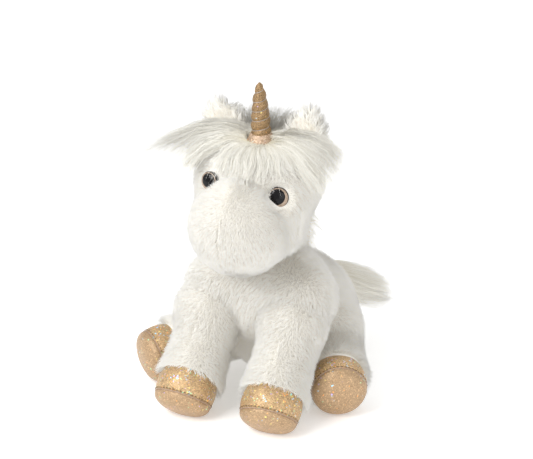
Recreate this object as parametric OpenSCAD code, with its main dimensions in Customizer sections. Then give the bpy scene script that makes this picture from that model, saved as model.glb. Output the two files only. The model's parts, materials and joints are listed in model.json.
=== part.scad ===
// Sitting plush unicorn: stuffed torso, turning and nodding head, four hinged legs with
// padded hooves, a wound cloth horn, folding ears, hair locks and a brush tail.
// The unicorn faces -Y, its left side is +X, and it sits on the plane Z = 0.
// The origin is the middle of the flat seat under the rump.

/* [Torso] */
// Radius of the rump
rump_r = 50; // [42:1:58]
// Height of the middle of the rump over the seat
rump_z = 44; // [36:1:50]
// Radius of the chest
chest_r = 34; // [28:1:40]
// Height of the middle of the chest
chest_z = 82; // [74:1:92]
// How far the chest leans forward of the seat's middle
chest_forward = 38; // [28:1:46]
// Thickness of the pile cover on the torso and head
cover_t = 7; // [4:0.5:10]

/* [Head] */
// Radius of the skull
skull_r = 35; // [30:1:42]
// Height of the middle of the skull
skull_z = 156; // [146:1:170]
// Radius of the muzzle
muzzle_r = 33; // [26:1:38]
// How far the muzzle stands forward of the skull
muzzle_forward = 37; // [28:1:46]
// How far the muzzle hangs below the skull
muzzle_drop = 14; // [8:1:26]
// Radius of an eye
eye_r = 7.5; // [5:0.25:10]
// Half the distance between the eyes
eye_half_gap = 25; // [18:0.5:30]

/* [Horn and ears] */
// Length of the horn over its seat in the head
horn_len = 48; // [35:1:60]
// Radius at the horn's foot
horn_foot_r = 6.4; // [5:0.1:9]
// Radius near the horn's tip
horn_tip_r = 2.2; // [1.5:0.1:4]
// Height of one turn of the horn's thread
thread_pitch = 6.5; // [4:0.5:10]
// Length of an ear over its root
ear_len = 38; // [26:1:44]
// Width of an ear
ear_w = 28; // [20:1:34]

/* [Legs] */
// Radius of a front leg at the shoulder
shoulder_r = 22; // [18:0.5:26]
// Radius of a hind leg at the hip
hip_r = 24; // [20:0.5:28]
// Radius of every leg at the ankle
ankle_r = 19.5; // [16:0.5:22]
// Largest radius of a hoof
hoof_r = 21.5; // [18:0.5:25]
// Pile cover on the legs and neck
limb_cover_t = 5; // [3:0.5:7]

/* [Movement] */
// How far a front leg lifts, in degrees
front_lift = 28; // [0:1:35]
// How far a hind leg spreads, in degrees
hind_spread = 20; // [0:1:25]
// Running gap between pieces that move on each other
gap = 0.4; // [0.3:0.05:0.8]

/* [Hidden] */
$fn = 96;

// Colours of the cloth, the hair and the plastic
pile = [0.95, 0.94, 0.91];
hair = [0.93, 0.93, 0.88];
fill = [0.98, 0.98, 0.98];
gold = [0.76, 0.60, 0.42];
gold_light = [0.84, 0.72, 0.55];
black = [0.03, 0.03, 0.03];
bronze = [0.55, 0.45, 0.33];

rump = [0, 2, rump_z];
chest = [0, -chest_forward, chest_z];
skull = [0, -53, skull_z];
muzzle = skull + [0, -muzzle_forward, -muzzle_drop];

// The neck is a body of revolution about the vertical line through both of its balls
neck_low = [0, -36, 104];
neck_top = [0, -36, 124];
neck_low_r = 20;
neck_top_r = 25;
nod_reach = 12; // degrees that the head's socket is opened for, up and down

fit = 0.1;         // gap between pieces of one body that lie on each other
socket_wall = 3;   // cloth left round each socket in the stuffing
seat_cloth = 3;    // cloth under the rump

// Legs: hinge point and hoof middle
front_right = [[-30, -56, 76], [-33, -104, 19.6]];
front_left = [[30, -56, 76], [33, -104, 19.6]];
hind_right = [[-34, -8, 34], [-75, -60, 22.2]];
hind_left = [[34, -8, 34], [62, -56, 22.2]];
leg_reach = 0.8;   // share of a leg's length that the torso makes room for

// Eyes are sewn on by hand, one a little lower than the other
eye_forward = 77;
eye_z = 164;
eye_skew = 1.5;
eye_dome = 4;      // height of the dome over its rim
eye_rim = 1.5;
stem_r = 2;
stem_len = 13;
iris_t = 0.5;
iris_in = 4.7;
iris_out = 6.8;

horn_foot = [0, -52, 187];
horn_tip = [0, -55, 187 + horn_len];
horn_cloth = 1;
thread_r = 0.45;
thread_start = 9;
collar_z = 5.2;    // height of the collar over the horn's seat

mane_r = 7.5;
mane_out = 36;     // from the middle of the skull
mane_low = -12;    // degrees from straight back
mane_turn = 80;

ear_root = [25.5, -43, 178.5];
ear_lean = 9;      // degrees outward
ear_ball_r = 8;
ear_stem_r = 4;
ear_t = 5;
ear_clear = 1.2;   // gap under an ear's lower edge

tail_root = [4, 50, 58];
tail_tip = [38, 86, 38];
tail_ball_r = 8;
tail_stub_r = 5.5;
tail_stub_len = 26;

// ---- helpers ----

// Points of an arc about (0, c) from angle a0 to a1, as [radius, height]
function arc(c, r, a0, a1, n = 9) =
    [for (i = [0:n]) let (a = a0 + (a1 - a0) * i / n) [r * cos(a), c + r * sin(a)]];

// Half outline of two balls on the Z axis joined by the cone that touches both
function two_ball_outline(len, r1, r2) =
    let (a = asin((r1 - r2) / len))
    concat(arc(0, r1, -90, a), arc(len, r2, a, 90));

// Places its children with their Z axis running from p to q
module along(p, q) {
    d = q - p;
    translate(p) rotate([0, acos(d.z / norm(d)), atan2(d.y, d.x)]) children();
}

// Two balls of radius r1 at p and r2 at q, with the skin stretched between them
module two_ball(p, q, r1, r2)
    along(p, q) rotate_extrude() polygon(two_ball_outline(norm(q - p), r1, r2));

module ball(p, r)
    translate(p) sphere(r);

// Everything below height z
module below(z)
    translate([-150, -200, z - 100]) cube([300, 400, 100]);

// ---- room for the moving pieces ----

// Room for a leg from rest to the end of its turn about the hinge point
module leg_room(leg, r, turn, g)
    hull() {
        ball(leg[0], r + g);
        for (k = [0, 1])
            translate(leg[0]) rotate(turn * k) ball((leg[1] - leg[0]) * leg_reach, r + g);
    }

// The room for the neck in the torso: the same about the vertical line at every turn
module neck_room(g)
    hull() {
        ball(neck_low, neck_low_r + g);
        ball(neck_top, neck_top_r + g);
    }

// The room for the root of the tail, open to the back
module tail_room(g)
    hull() {
        ball(tail_root, tail_ball_r + g);
        ball(tail_root + [0, 6, 0], tail_ball_r + g);
    }

// The room for the limbs in the torso
module limb_room(g) {
    leg_room(front_right, shoulder_r, [-front_lift, 0, 0], g);
    leg_room(front_left, shoulder_r, [-front_lift, 0, 0], g);
    leg_room(hind_right, hip_r, [0, 0, -hind_spread], g);
    leg_room(hind_left, hip_r, [0, 0, hind_spread], g);
    tail_room(g);
}

// The head's socket on the neck, opened for the nod
module nod_room(g) {
    ball(neck_top, neck_top_r + g);
    for (a = [-nod_reach, 0, nod_reach])
        translate(neck_top) rotate([180 + a, 0, 0]) cylinder(h = 45, r = neck_top_r + g + 0.2);
}

module horn_room(g)
    along(horn_foot, horn_tip) translate([0, 0, -g]) cylinder(h = 20, r = horn_foot_r + g);

// ---- torso ----

module torso_body(inset, floor_z)
    difference() {
        hull() {
            ball(rump, rump_r - inset);
            ball(chest, chest_r - inset);
        }
        below(floor_z);
    }

// The cover lines the limbs' sockets, and is open at the neck
module torso_cover($fn = 32)
    color(pile) difference() {
        torso_body(0, 0);
        difference() {
            torso_body(cover_t, seat_cloth);
            limb_room(gap + socket_wall);
        }
        limb_room(gap);
        neck_room(gap);
    }

module torso_stuffing($fn = 24)
    color(fill) difference() {
        torso_body(cover_t + 7 * fit, seat_cloth + fit);
        limb_room(gap + socket_wall + 7 * fit);
        neck_room(gap + fit);
        pellet_bag(3 * fit);
        translate([0, 3, 0]) cylinder(h = seat_cloth + 4 * fit, r = 9 + 3 * fit);
    }

// A soft bag of pellets on the seat's cloth, that weighs the rump down
module pellet_bag(g)
    translate([0, 3, seat_cloth + 2 * fit - g]) hull() {
        cylinder(h = 11 + 2 * g, r = 9 + g);
        translate([0, 0, 4]) cylinder(h = 5 + 2 * g, r = 15 + g);
    }

module seat_pellet_bag($fn = 24)
    color(gold_light) pellet_bag(0);

// ---- neck ----

module neck_cover()
    color(pile) difference() {
        two_ball(neck_low, neck_top, neck_low_r, neck_top_r);
        two_ball(neck_low, neck_top, neck_low_r - limb_cover_t, neck_top_r - limb_cover_t);
    }

module neck_stuffing()
    color(fill) two_ball(neck_low, neck_top,
        neck_low_r - limb_cover_t - fit, neck_top_r - limb_cover_t - fit);

// ---- head ----

module head_body(inset)
    two_ball(skull, muzzle, skull_r - inset, muzzle_r - inset);

module head_room(g) {
    nod_room(g);
    for (s = [-1, 1]) ball([s * ear_root.x, ear_root.y, ear_root.z], ear_ball_r + g);
}

module head_cover()
    color(pile) difference() {
        head_body(0);
        difference() {
            head_body(cover_t);
            head_room(gap + socket_wall);
        }
        head_room(gap);
        horn_room(fit);
        for (s = [-1, 1]) at_eye(s) eye_room();
    }

module head_stuffing()
    color(fill) difference() {
        head_body(cover_t + fit);
        head_room(gap + socket_wall + fit);
        horn_room(fit);
        for (s = [-1, 1]) at_eye(s) eye_room();
    }

// Eyes: s is -1 for the right eye and 1 for the left
module at_eye(s)
    translate([s * eye_half_gap, -eye_forward, eye_z - s * eye_skew])
        rotate([80, 0, s * 33]) children();

// Radius of the sphere that the eye's dome is a cap of
dome_r = (eye_r * eye_r + eye_dome * eye_dome) / (2 * eye_dome);

module eye_room() {
    translate([0, 0, -eye_rim - fit]) cylinder(h = 20, r = eye_r + fit);
    translate([0, 0, -stem_len - 3]) cylinder(h = stem_len + 3, r = stem_r + fit);
    translate([0, 0, -11 - fit]) cylinder(h = 1.5 + 2 * fit, r = 6.5 + fit);
}

module eye_dome_slice(inset, r_in, r_out, g = 0)
    intersection() {
        translate([0, 0, eye_dome - dome_r]) difference() {
            sphere(dome_r + g);
            sphere(dome_r - inset);
        }
        difference() {
            cylinder(h = eye_dome + 1, r = r_out);
            translate([0, 0, -1]) cylinder(h = eye_dome + 3, r = r_in);
        }
    }

module eye(s)
    color(black) at_eye(s) difference() {
        union() {
            intersection() {
                translate([0, 0, eye_dome - dome_r]) sphere(dome_r);
                cylinder(h = eye_dome + 1, r = eye_r);
            }
            translate([0, 0, -eye_rim]) cylinder(h = eye_rim, r = eye_r);
            translate([0, 0, -stem_len]) cylinder(h = stem_len, r = stem_r);
        }
        eye_dome_slice(iris_t + 0.02, iris_in - 0.02, iris_out + 0.02, 1);
    }

module eye_iris(s)
    color(bronze) at_eye(s) eye_dome_slice(iris_t, iris_in, iris_out);

module eye_washer(s)
    color(fill) at_eye(s) translate([0, 0, -11]) difference() {
        cylinder(h = 1.5, r = 6.5);
        translate([0, 0, -1]) cylinder(h = 4, r = stem_r + fit);
    }

// ---- horn ----

function horn_r(z) = horn_foot_r + (horn_tip_r - horn_foot_r) * z / horn_len;

// The horn's cone with a round tip, drawn in by inset
function horn_outline(inset) = concat(
    [[0, inset], [horn_foot_r - inset, inset]],
    arc(horn_len - horn_tip_r, horn_tip_r - inset, 5, 90, 5));

module horn_cover()
    color(gold) along(horn_foot, horn_tip) difference() {
        rotate_extrude() polygon(horn_outline(0));
        rotate_extrude() polygon(horn_outline(horn_cloth));
    }

module horn_stuffing()
    color(fill) along(horn_foot, horn_tip) rotate_extrude() polygon(horn_outline(horn_cloth + fit));

// A thread wound up the horn, swept as an eight-sided tube along a conical spiral
module horn_thread() {
    turns = 5.5;
    per_turn = 20;
    sides = 8;
    n = turns * per_turn;
    points = [for (i = [0:n]) let (
        z = thread_start + thread_pitch * i / per_turn,
        a = 360 * i / per_turn,
        r = horn_r(z) + thread_r + fit)
        for (k = [0:sides - 1]) let (b = 360 * k / sides)
            [(r + thread_r * cos(b)) * cos(a), (r + thread_r * cos(b)) * sin(a), z + thread_r * sin(b)]];
    walls = [for (i = [0:n - 1], k = [0:sides - 1]) let (m = (k + 1) % sides)
        [i * sides + k, i * sides + m, (i + 1) * sides + m, (i + 1) * sides + k]];
    ends = [[for (k = [sides - 1:-1:0]) k], [for (k = [0:sides - 1]) n * sides + k]];
    color(gold_light) along(horn_foot, horn_tip) polyhedron(points, concat(walls, ends), convexity = 10);
}

// The gathered ring of cloth round the horn's foot
module horn_collar()
    color(gold_light) along(horn_foot, horn_tip) translate([0, 0, collar_z]) rotate_extrude()
        polygon([[horn_foot_r + fit, 0], [8.6, 0], [9.2, 1.2], [8, 2.4], [horn_foot_r + fit, 2.4]]);

// ---- hair on the head ----

// A lock of hair lies outside the head and round the horn
module on_head()
    difference() {
        children();
        head_body(-fit);
        along(horn_foot, horn_tip) cylinder(h = 20, r = 9.6);
    }

module forelock()
    color(hair) on_head() {
        two_ball([-4, -59, 194], [-40, -71, 190], 8.5, 6.5);
        two_ball([-40, -71, 190], [-66, -72, 180], 6.2, 2.5);
        two_ball([5, -59, 194], [40, -71, 190], 8.2, 6);
        two_ball([40, -71, 190], [62, -70, 183], 5.7, 2.5);
        two_ball([6, -62, 194], [20, -84, 180], 7.5, 4.5);
    }

// The mane is a roll of hair down the back of the head, bent round the middle of the skull
module mane()
    color(hair) difference() {
        translate(skull) rotate([90, 0, 90]) rotate([0, 0, mane_low])
            rotate_extrude(angle = mane_turn) translate([mane_out, 0]) circle(mane_r);
        ball(skull, skull_r + fit);
    }

// ---- ears ----

// Places an ear upright on its root, leaning outward: s is -1 for right, 1 for left
module at_ear(s)
    translate([s * ear_root.x, ear_root.y, ear_root.z]) rotate([0, s * ear_lean, 0]) children();

// Pointed leaf: where two circles cross, its tip at ear_len
module leaf(w, len, t) {
    half = len * 0.62;
    r = (w * w / 4 + half * half) / w;
    translate([0, 0, len - half]) rotate([90, 0, 0]) linear_extrude(t) intersection() {
        translate([r - w / 2, 0]) circle(r);
        translate([w / 2 - r, 0]) circle(r);
    }
}

module ear_back(s)
    color(pile) {
        difference() {
            at_ear(s) translate([0, ear_t, 0]) leaf(ear_w, ear_len, ear_t);
            ball(skull, skull_r + ear_clear);
            at_ear(s) sphere(ear_ball_r);
        }
        at_ear(s) {
            sphere(ear_ball_r);
            cylinder(h = 14, r = ear_stem_r);
        }
    }

module ear_lining(s)
    color(hair) difference() {
        at_ear(s) translate([0, -fit, 2]) leaf(ear_w * 0.72, ear_len * 0.84, 1.6);
        ball(skull, skull_r + ear_clear);
        at_ear(s) {
            sphere(ear_ball_r + fit);
            cylinder(h = 14 + fit, r = ear_stem_r + fit);
        }
    }

// ---- tail ----

module tail_core()
    color(pile) along(tail_root, tail_tip) {
        sphere(tail_ball_r);
        cylinder(h = tail_stub_len, r1 = tail_stub_r, r2 = tail_stub_r - 1.5);
    }

module tail_hair()
    color(hair) along(tail_root, tail_tip) difference() {
        rotate_extrude() polygon([[0, 13], [7, 13], [11.5, 19], [14, 28], [14, 38],
            [12, 48], [7, 58], [0, 62]]);
        translate([0, 0, -1]) cylinder(h = tail_stub_len + 1 + fit, r = tail_stub_r + fit);
    }

// ---- legs ----

hoof_start = -11;  // where the hoof begins, measured from the hoof's middle
sole_start = 7;
cloth_t = 1.2;     // thickness of the hoof's cloth

function leg_len(leg) = norm(leg[1] - leg[0]);

// Half outline of a leg from its round top down to the hoof's edge
function leg_outline(r, len, inset) = concat(
    arc(0, r - inset, -90, 0, 12),
    [[ankle_r - inset, len + hoof_start]]);

module leg_cover(leg, r)
    color(pile) along(leg[0], leg[1]) rotate_extrude() difference() {
        polygon(concat(leg_outline(r, leg_len(leg), 0), [[0, leg_len(leg) + hoof_start]]));
        polygon(concat(leg_outline(r, leg_len(leg), limb_cover_t),
            [[ankle_r - limb_cover_t, leg_len(leg)], [0, leg_len(leg)]]));
    }

module leg_stuffing(leg, r)
    color(fill) along(leg[0], leg[1]) rotate_extrude()
        polygon(concat(leg_outline(r, leg_len(leg), limb_cover_t + fit),
            [for (p = hoof_wall(cloth_t + fit)) [p[0], p[1] + leg_len(leg)]],
            [[0, leg_len(leg) + sole_start - fit]]));

// Outline of the hoof's wall from its upper edge to the sole's seam, from the hoof's middle
function hoof_wall(inset) = [
    [ankle_r + 0.5 - inset, hoof_start + fit],
    [hoof_r - 0.6 - inset, -6],
    [hoof_r - inset, -1],
    [hoof_r - 0.2 - inset, 4],
    [hoof_r - 0.9 - inset, sole_start - fit]];

module hoof_upper(leg)
    color(gold) along(leg[0], leg[1]) translate([0, 0, leg_len(leg)]) rotate_extrude()
        polygon(concat(hoof_wall(0), [for (i = [4:-1:0]) hoof_wall(cloth_t)[i]]));

module hoof_sole(leg)
    color(gold_light) difference() {
        along(leg[0], leg[1]) translate([0, 0, leg_len(leg) + sole_start]) rotate_extrude()
            polygon([[0, 0], [hoof_r - 0.7, 0], [hoof_r - 0.7, 1.4], [hoof_r - 2, 4],
                [hoof_r - 5, 6.6], [hoof_r - 9, 8.4], [hoof_r - 15, 9.6], [0, 10]]);
        below(0);
    }

torso_cover();
torso_stuffing();
seat_pellet_bag();
neck_cover();
neck_stuffing();
head_cover();
head_stuffing();
eye(-1);  // right_eye
eye_iris(-1);  // right_eye_iris
eye_washer(-1);  // right_eye_washer
eye(1);  // left_eye
eye_iris(1);  // left_eye_iris
eye_washer(1);  // left_eye_washer
horn_cover();
horn_stuffing();
horn_thread();
horn_collar();
forelock();
mane();
ear_back(-1);  // right_ear_back
ear_lining(-1);  // right_ear_lining
ear_back(1);  // left_ear_back
ear_lining(1);  // left_ear_lining
tail_core();
tail_hair();
leg_cover(front_right, shoulder_r);  // front_right_leg_cover
leg_stuffing(front_right, shoulder_r);  // front_right_leg_stuffing
hoof_upper(front_right);  // front_right_hoof_upper
hoof_sole(front_right);  // front_right_hoof_sole
leg_cover(front_left, shoulder_r);  // front_left_leg_cover
leg_stuffing(front_left, shoulder_r);  // front_left_leg_stuffing
hoof_upper(front_left);  // front_left_hoof_upper
hoof_sole(front_left);  // front_left_hoof_sole
leg_cover(hind_right, hip_r);  // hind_right_leg_cover
leg_stuffing(hind_right, hip_r);  // hind_right_leg_stuffing
hoof_upper(hind_right);  // hind_right_hoof_upper
hoof_sole(hind_right);  // hind_right_hoof_sole
leg_cover(hind_left, hip_r);  // hind_left_leg_cover
leg_stuffing(hind_left, hip_r);  // hind_left_leg_stuffing
hoof_upper(hind_left);  // hind_left_hoof_upper
hoof_sole(hind_left);  // hind_left_hoof_sole
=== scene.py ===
"""Sitting plush unicorn: pile cloth, long hair, hooves and horn of glitter cloth, glossy eyes.

Shapes are worked out in millimetres and turned into metres when a mesh is made.
"""

import json
import math

import bmesh
import bpy
import numpy as np
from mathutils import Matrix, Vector, kdtree


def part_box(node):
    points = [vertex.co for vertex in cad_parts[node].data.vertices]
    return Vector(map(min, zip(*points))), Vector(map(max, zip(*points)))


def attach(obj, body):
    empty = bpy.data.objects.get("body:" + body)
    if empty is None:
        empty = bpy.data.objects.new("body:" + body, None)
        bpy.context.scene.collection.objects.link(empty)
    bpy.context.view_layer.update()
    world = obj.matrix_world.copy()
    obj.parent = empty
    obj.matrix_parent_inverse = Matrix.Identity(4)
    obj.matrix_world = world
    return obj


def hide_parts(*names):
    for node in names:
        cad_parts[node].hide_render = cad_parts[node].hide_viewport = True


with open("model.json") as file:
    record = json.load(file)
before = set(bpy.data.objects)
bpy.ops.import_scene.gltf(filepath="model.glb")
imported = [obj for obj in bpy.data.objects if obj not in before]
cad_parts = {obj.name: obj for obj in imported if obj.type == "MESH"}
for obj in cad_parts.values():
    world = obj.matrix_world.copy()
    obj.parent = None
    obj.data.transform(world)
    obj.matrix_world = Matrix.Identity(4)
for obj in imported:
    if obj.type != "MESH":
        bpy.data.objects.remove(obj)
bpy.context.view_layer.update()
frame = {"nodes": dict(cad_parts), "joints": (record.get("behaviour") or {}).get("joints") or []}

MM = 0.001
SEED = 20
JOINTS = {j["name"]: np.array(j["pos_m"]) / MM for j in frame["joints"]}


# ---- places, from the frame ----

def middle(node):
    """Middle of a CAD node's box, in millimetres."""
    low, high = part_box(node)
    return (np.array(low) + np.array(high)) / 2 / MM


def corner(node, which):
    """Lowest (0) or highest (1) corner of a CAD node's box, in millimetres."""
    return np.array(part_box(node)[which]) / MM


NECK_LOW = JOINTS["neck_turn"]
NECK_TOP = JOINTS["neck_nod"]
LEGS = {
    "front_right": JOINTS["front_right_leg_lift"],
    "front_left": JOINTS["front_left_leg_lift"],
    "hind_right": JOINTS["hind_right_leg_spread"],
    "hind_left": JOINTS["hind_left_leg_spread"],
}
HOOF_SHIFT = 3.0  # the middle of the hoof's wall lies this far back from the hoof's middle
TAIL_ROOT = JOINTS["tail_swing"]
HEAD_LOW, HEAD_HIGH = corner("head_cover", 0), corner("head_cover", 1)
SKULL = np.array([0.0, HEAD_HIGH[1] - 35, HEAD_HIGH[2] - 35])
MUZZLE = np.array([0.0, HEAD_LOW[1] + 33, HEAD_LOW[2] + 33])
TORSO_BACK = corner("torso_cover", 1)[1]
RUMP = np.array([0.0, TORSO_BACK - 50, 44.0])
CHEST = np.array([0.0, NECK_LOW[1] - 2, NECK_LOW[2] - 22])
SHOULDER = LEGS["front_left"] + [1, 4, 4]
HAUNCH = LEGS["hind_left"] + [-2, -3, 6]


# ---- small vector helpers on arrays of points ----

def unit(v):
    return v / np.maximum(np.linalg.norm(v, axis=-1, keepdims=True), 1e-9)


def ball(p, c, r):
    return np.linalg.norm(p - np.asarray(c, float), axis=-1) - r


def cone(p, a, b, ra, rb):
    """Distance to a rod from a to b whose radius runs from ra to rb."""
    a, b = np.asarray(a, float), np.asarray(b, float)
    ab = b - a
    t = np.clip((p - a) @ ab / (ab @ ab), 0, 1)
    return np.linalg.norm(p - a - t[..., None] * ab, axis=-1) - (ra + (rb - ra) * t)


def melt(k, *distances):
    """Smooth union of several distances."""
    out = distances[0]
    for d in distances[1:]:
        h = np.clip(0.5 + 0.5 * (d - out) / k, 0, 1)
        out = d * (1 - h) + out * h - k * h * (1 - h)
    return out


def waves(p, size, seed):
    """Three smooth random numbers from about -1 to 1 at each point, varying over about size mm."""
    rng = np.random.default_rng(seed)
    out = np.zeros((len(p), 3))
    for _ in range(6):
        k = unit(rng.normal(size=(3,))) * (2 * math.pi / size) * rng.uniform(0.6, 1.5)
        out += np.sin((p @ k)[:, None] + rng.uniform(0, 2 * math.pi, 3)) * unit(rng.normal(size=3))
    return out / 1.8


def gradient(shape, p, step=0.3):
    g = np.stack([shape(p + step * e) - shape(p - step * e) for e in np.eye(3)], axis=-1)
    return unit(g)


def axes_along(a, b):
    """Rows: two sideways directions and the direction from a to b. The first is level."""
    z = unit(np.asarray(b, float) - a)
    x = unit(np.cross(z, [0, 0, 1.0]))
    return np.stack([x, np.cross(z, x), z])


# ---- meshes ----

def make_mesh(name, points, faces, normals=None, uvs=None):
    """Smooth-shaded object from an array of points in mm and an array or list of faces."""
    mesh = bpy.data.meshes.new(name)
    points = np.asarray(points, float) * MM
    sizes = [len(f) for f in faces] if isinstance(faces, list) else [faces.shape[1]] * len(faces)
    flat = np.concatenate([np.asarray(f) for f in faces]) if isinstance(faces, list) else faces.ravel()
    mesh.vertices.add(len(points))
    mesh.vertices.foreach_set("co", points.ravel())
    mesh.loops.add(len(flat))
    mesh.loops.foreach_set("vertex_index", flat.astype(np.int32))
    mesh.polygons.add(len(sizes))
    mesh.polygons.foreach_set("loop_start", np.concatenate([[0], np.cumsum(sizes)[:-1]]).astype(np.int32))
    mesh.polygons.foreach_set("use_smooth", [True] * len(sizes))
    mesh.update(calc_edges=True)
    if uvs is not None:
        layer = mesh.uv_layers.new(name="OFBake")
        layer.data.foreach_set("uv", uvs[flat].astype(np.float32).ravel())
    if normals is not None:
        mesh.normals_split_custom_set_from_vertices(normals)
    thing = bpy.data.objects.new(name, mesh)
    bpy.context.scene.collection.objects.link(thing)
    return thing


def blob(name, centre, shape, detail=6, reach=90.0):
    """Closed skin: every point of a fine ball pushed out from centre to where shape is zero."""
    bm = bmesh.new()
    bmesh.ops.create_icosphere(bm, subdivisions=detail, radius=1)
    rays = unit(np.array([v.co[:] for v in bm.verts]))
    faces = np.array([[v.index for v in f.verts] for f in bm.faces])
    bm.free()
    low, high = np.zeros(len(rays)), np.full(len(rays), reach)
    for _ in range(24):
        mid = (low + high) / 2
        inside = shape(centre + rays * mid[:, None]) < 0
        low, high = np.where(inside, mid, low), np.where(inside, high, mid)
    return make_mesh(name, centre + rays * low[:, None], faces)


def lathe(name, origin, axes, outline, around, dent=None, close=True):
    """Turned skin about the third of axes. outline is rows of (radius, height), and
    dent(angle, height) adds to the radius."""
    outline = np.asarray(outline, float)
    turn = np.arange(around) * 2 * math.pi / around
    r, h = np.meshgrid(outline[:, 0], turn, indexing="ij")[0], np.repeat(outline[:, 1:2], around, 1)
    t = np.repeat(turn[None], len(outline), 0)
    if dent is not None:
        r = r + dent(t, h)
    local = np.stack([r * np.cos(t), r * np.sin(t), h], -1).reshape(-1, 3)
    rings = len(outline)
    i, k = np.meshgrid(np.arange(rings - 1), np.arange(around), indexing="ij")
    n = (k + 1) % around
    this, above = i * around, (i + 1) * around
    quads = np.stack([this + k, this + n, above + n, above + k], -1)
    faces = [list(q) for q in quads.reshape(-1, 4)]
    if close:
        faces += [list(range(around))[::-1], list(range((rings - 1) * around, rings * around))]
    return make_mesh(name, origin + local @ axes, faces)


def resample(points, count):
    """Smooth curve of count points through a few, by Catmull-Rom."""
    p = np.asarray(points, float)
    p = np.concatenate([[2 * p[0] - p[1]], p, [2 * p[-1] - p[-2]]])
    u = np.linspace(0, len(p) - 3 - 1e-6, count)
    i = u.astype(int)
    t = (u - i)[:, None]
    a, b, c, d = p[i], p[i + 1], p[i + 2], p[i + 3]
    return 0.5 * (2 * b + (c - a) * t + (2 * a - 5 * b + 4 * c - d) * t**2 + (3 * b - a - 3 * c + d) * t**3)


def ring_faces(rings, sides, first=0):
    """Faces between rings of points that follow each other, numbered from first."""
    faces = []
    for i in range(rings - 1):
        low = first + i * sides
        high = low + sides
        for k in range(sides):
            n = (k + 1) % sides
            faces.append([low + k, low + n, high + n, high + k])
    return faces


def tube(name, path, radius, sides):
    """Closed tube along a path of points in mm."""
    ahead = unit(np.gradient(path, axis=0))
    side = unit(np.cross(ahead, [0.01, 0.02, 1.0]))
    up = np.cross(ahead, side)
    turn = np.arange(sides) * 2 * math.pi / sides
    ring = np.cos(turn)[None, :, None] * side[:, None] + np.sin(turn)[None, :, None] * up[:, None]
    points = (path[:, None] + ring * radius).reshape(-1, 3)
    faces = ring_faces(len(path), sides)
    faces += [list(range(sides))[::-1], list(range((len(path) - 1) * sides, len(path) * sides))]
    return make_mesh(name, points, faces)


def dress(thing, material, body, slot, *nodes):
    """Gives a piece its material and body; slot is not used. It takes the place of the CAD nodes named."""
    thing.data.materials.append(material)
    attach(thing, body)
    if nodes:
        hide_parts(*nodes)


# ---- strands ----

FLOOR_GAP = 0.25  # strands end this far over the floor, in mm


def strands(name, paths, widths, soft_normals, rng, keep):
    """One mesh of closed three-sided hairs. paths is (hairs, points, 3) and the last point is the tip.
    keep is how far a hair is shaded by soft_normals instead of its own round."""
    count, points = paths.shape[:2]
    rings = points - 1
    paths = paths.copy()
    paths[..., 2] = np.maximum(paths[..., 2], FLOOR_GAP)
    ahead = unit(np.gradient(paths, axis=1))
    side = unit(np.cross(ahead, unit(rng.normal(size=(count, 1, 3)))))
    up = np.cross(ahead, side)
    taper = np.linspace(1, 0, points)[:rings] ** 0.7 * 0.85 + 0.15
    corners = []
    normals = []
    for k in range(3):
        a = k * 2 * math.pi / 3
        out = math.cos(a) * side[:, :rings] + math.sin(a) * up[:, :rings]
        corners.append(paths[:, :rings] + out * (widths[:, None] * taper[None])[..., None] / 2)
        normals.append(unit(out * (1 - keep) + soft_normals[:, None] * keep))
    body = np.stack(corners, 2).reshape(count, rings * 3, 3)
    shade = np.stack(normals, 2).reshape(count, rings * 3, 3)
    tips = paths[:, -1:]
    tip_shade = unit(ahead[:, -1:] * 0.3 + soft_normals[:, None])
    every = rings * 3 + 1
    verts = np.concatenate([body, tips], 1).reshape(-1, 3)
    norms = np.concatenate([shade, tip_shade], 1).reshape(-1, 3)
    faces = [[0, 2, 1]]
    for i in range(rings - 1):
        for k in range(3):
            n = (k + 1) % 3
            low, high = i * 3, i * 3 + 3
            faces += [[low + k, low + n, high + n], [low + k, high + n, high + k]]
    last = (rings - 1) * 3
    faces += [[last + k, last + (k + 1) % 3, rings * 3] for k in range(3)]
    faces = (np.array(faces)[None] + (np.arange(count) * every)[:, None, None]).reshape(-1, 3)
    along = np.concatenate([np.repeat(np.linspace(0, 1, points)[:rings], 3), [1.0]])
    along = np.clip(along, 0.01, 0.99)
    across = rng.uniform(0.02, 0.98, (count, 1))
    uvs = np.stack(np.broadcast_arrays(along[None], across), -1).reshape(-1, 2)
    return make_mesh(name, verts, faces, norms, uvs)


def roots_on(skin, density, rng, wanted):
    """Random points and smooth normals on a skin, density to the square mm, where wanted is true."""
    mesh = skin.data
    co = np.empty(len(mesh.vertices) * 3)
    mesh.vertices.foreach_get("co", co)
    co = co.reshape(-1, 3) / MM
    vn = np.empty(len(mesh.vertices) * 3)
    mesh.vertices.foreach_get("normal", vn)
    vn = vn.reshape(-1, 3)
    tri = np.empty(len(mesh.polygons) * 3, np.int32)
    mesh.polygons.foreach_get("vertices", tri)
    tri = tri.reshape(-1, 3)
    a, b, c = co[tri[:, 0]], co[tri[:, 1]], co[tri[:, 2]]
    area = np.linalg.norm(np.cross(b - a, c - a), axis=1) / 2
    count = int(area.sum() * density)
    even = (np.arange(count) + rng.uniform(size=count)) / count
    pick = np.minimum(np.searchsorted(np.cumsum(area) / area.sum(), even), len(tri) - 1)
    u, v = rng.uniform(size=(2, count))
    flip = u + v > 1
    u, v = np.where(flip, 1 - u, u)[:, None], np.where(flip, 1 - v, v)[:, None]
    p = a[pick] + u * (b - a)[pick] + v * (c - a)[pick]
    n = unit(vn[tri[pick, 0]] * (1 - u - v) + vn[tri[pick, 1]] * u + vn[tri[pick, 2]] * v)
    ok = wanted(p)
    return p[ok], n[ok]


def nearest(points, centres):
    """Index of the nearest of centres to each point."""
    tree = kdtree.KDTree(len(centres))
    for i, c in enumerate(centres):
        tree.insert(c, i)
    tree.balance()
    return np.array([tree.find(p)[1] for p in points])


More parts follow.
